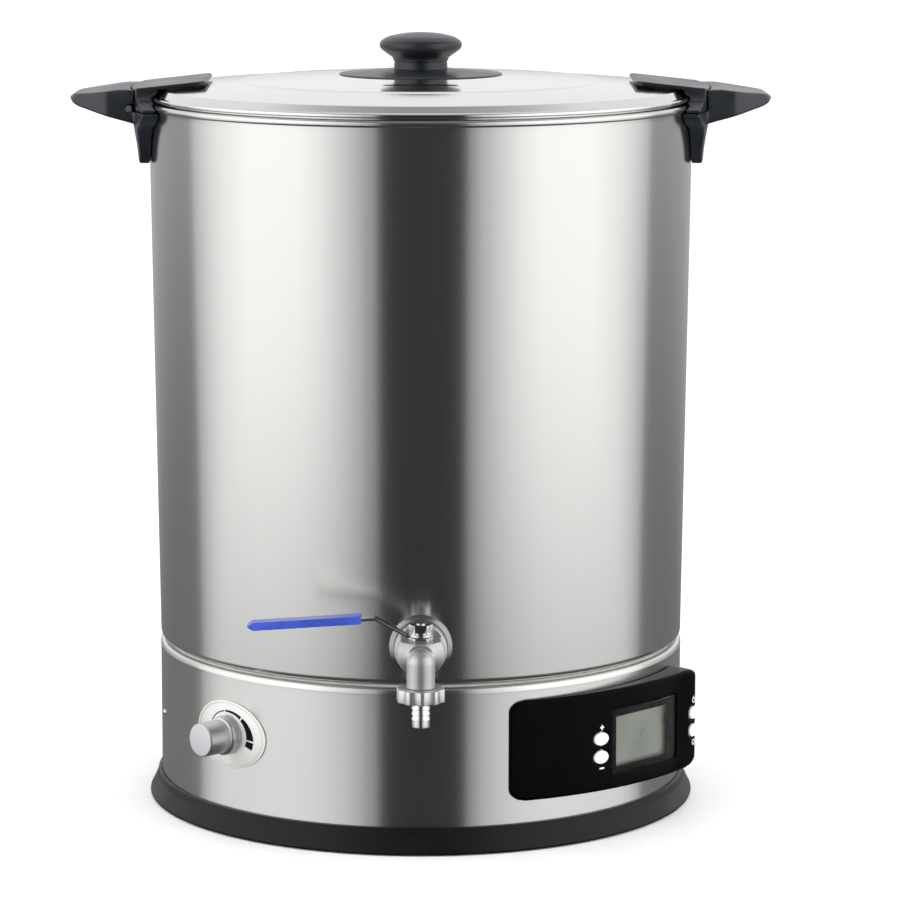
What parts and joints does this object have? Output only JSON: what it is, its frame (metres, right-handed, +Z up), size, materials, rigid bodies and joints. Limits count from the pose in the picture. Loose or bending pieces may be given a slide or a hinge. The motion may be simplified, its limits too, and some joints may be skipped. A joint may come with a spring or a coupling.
{
  "type": "brew kettle",
  "caption": "Free-standing electric brew kettle: tapered steel vessel with lift-off lid, side handles, ball-valve tap, thermostat dial and a curved control panel.",
  "frame": {"origin": "middle of the surface that the feet stand on, on the vessel axis", "axes": "+Z up along the vessel axis, the tap faces -Y, the handles lie along X"},
  "size_m": [0.486, 0.4346, 0.536],
  "materials": {
    "base_plastic": "satin black moulded plastic with a fine texture",
    "black_plastic": "satin black moulded phenolic plastic",
    "brushed_steel": "stainless steel brushed up and down, satin",
    "button_white": "satin off-white plastic",
    "cast_steel": "investment-cast stainless steel, bead-blasted",
    "circuit_board": "green glass-epoxy board",
    "cutout_ceramic": "unglazed white ceramic",
    "dial_print": "silver-grey printed plate with a black scale",
    "display_grey": "grey-green liquid crystal glass",
    "element_steel": "dark annealed steel tube",
    "foot_rubber": "matt black rubber",
    "galvanised_steel": "zinc-plated sheet",
    "gloss_black": "gloss black moulded plastic",
    "grip_blue": "dipped blue vinyl sleeve",
    "heater_aluminium": "plain cast aluminium",
    "knob_aluminium": "turned and spun-faced aluminium",
    "lens_clear": "clear acrylic window with a light film edge",
    "lever_steel": "pressed stainless strip",
    "polished_steel": "spun and polished stainless steel, semi-bright",
    "probe_steel": "drawn stainless tube",
    "relay_case": "blue relay cases",
    "screw_steel": "stainless screws and pins",
    "seal_silicone": "translucent white silicone",
    "seat_ptfe": "white fluoropolymer",
    "spacer_nylon": "natural nylon",
    "thermostat_brass": "turned brass",
    "thermostat_case": "pressed steel can",
    "turned_steel": "turned bright stainless steel"
  },
  "bodies": {
    "kettle": {"base_plate": "galvanised_steel", "base_ring": "base_plastic", "base_screws": "screw_steel", "board_spacers": "spacer_nylon", "cable_gland": "base_plastic", "control_board": "circuit_board", "dial_plate": "dial_print", "display_lens": "lens_clear", "display_module": "display_grey", "feet": "foot_rubber", "feet_screws": "screw_steel", "gland_nut": "base_plastic", "handle_screws": "screw_steel", "heat_shield": "galvanised_steel", "heat_spreader": "heater_aluminium", "heating_element": "element_steel", "hose_tail": "turned_steel", "left_handle": "black_plastic", "left_lock_pin": "screw_steel", "lower_shell": "brushed_steel", "packing_nut": "cast_steel", "panel_housing": "gloss_black", "relay_board": "circuit_board", "relays": "relay_case", "right_handle": "black_plastic", "right_lock_pin": "screw_steel", "shell_seal": "seal_silicone", "shield_posts": "galvanised_steel", "spout_washer": "seal_silicone", "tap_backnut": "turned_steel", "tap_body": "cast_steel", "tap_flange": "turned_steel", "tap_gasket": "seal_silicone", "tap_seats": "seat_ptfe", "temperature_probe": "probe_steel", "terminal_block": "spacer_nylon", "thermal_cutout": "cutout_ceramic", "thermostat_body": "thermostat_case", "thermostat_nut": "thermostat_brass", "vessel": "brushed_steel"},
    "lid": {"lid": "polished_steel", "knob_disc": "black_plastic", "lid_knob": "black_plastic", "knob_washer": "screw_steel", "knob_screw": "screw_steel", "left_lid_clip": "black_plastic", "right_lid_clip": "black_plastic"},
    "tap_handle": {"tap_lever": "lever_steel", "lever_sleeve": "grip_blue", "tap_stem": "turned_steel", "stem_nut": "turned_steel", "tap_ball": "turned_steel"},
    "spout_nut": {"spout_nut": "cast_steel"},
    "thermostat_dial": {"thermostat_knob": "knob_aluminium", "thermostat_shaft": "thermostat_brass"},
    "up_button": {"button_up": "button_white"},
    "down_button": {"button_down": "button_white"},
    "power_button": {"button_power": "button_white"},
    "set_button": {"button_set": "button_white"}
  },
  "joints": [
    {"name": "lid_lift", "type": "slide", "parent": "kettle", "child": "lid", "axis": [0, 0, 1], "range_m": [0, 0.2]},
    {"name": "tap_turn", "type": "hinge", "parent": "kettle", "child": "tap_handle", "pos_m": [0, -0.207, 0.1415], "axis": [0, 0, 1], "range_deg": [0, 90]},
    {"name": "spout_nut_turn", "type": "hinge", "parent": "kettle", "child": "spout_nut", "pos_m": [0, -0.219, 0.117], "axis": [0, 0, 1], "continuous": true},
    {"name": "thermostat_turn", "type": "hinge", "parent": "kettle", "child": "thermostat_dial", "pos_m": [-0.12982, -0.12982, 0.069], "axis": [0.7071, 0.7071, 0], "range_deg": [0, 270]},
    {"name": "up_button_press", "type": "slide", "parent": "kettle", "child": "up_button", "axis": [-0.5764, 0.8171, 0], "range_m": [0, 0.0012], "stiffness_N_per_m": 600, "springref_m": -0.0005},
    {"name": "down_button_press", "type": "slide", "parent": "kettle", "child": "down_button", "axis": [-0.5764, 0.8171, 0], "range_m": [0, 0.0012], "stiffness_N_per_m": 600, "springref_m": -0.0005},
    {"name": "power_button_press", "type": "slide", "parent": "kettle", "child": "power_button", "axis": [-0.8746, 0.4848, 0], "range_m": [0, 0.0012], "stiffness_N_per_m": 600, "springref_m": -0.0005},
    {"name": "set_button_press", "type": "slide", "parent": "kettle", "child": "set_button", "axis": [-0.8746, 0.4848, 0], "range_m": [0, 0.0012], "stiffness_N_per_m": 600, "springref_m": -0.0005}
  ]
}
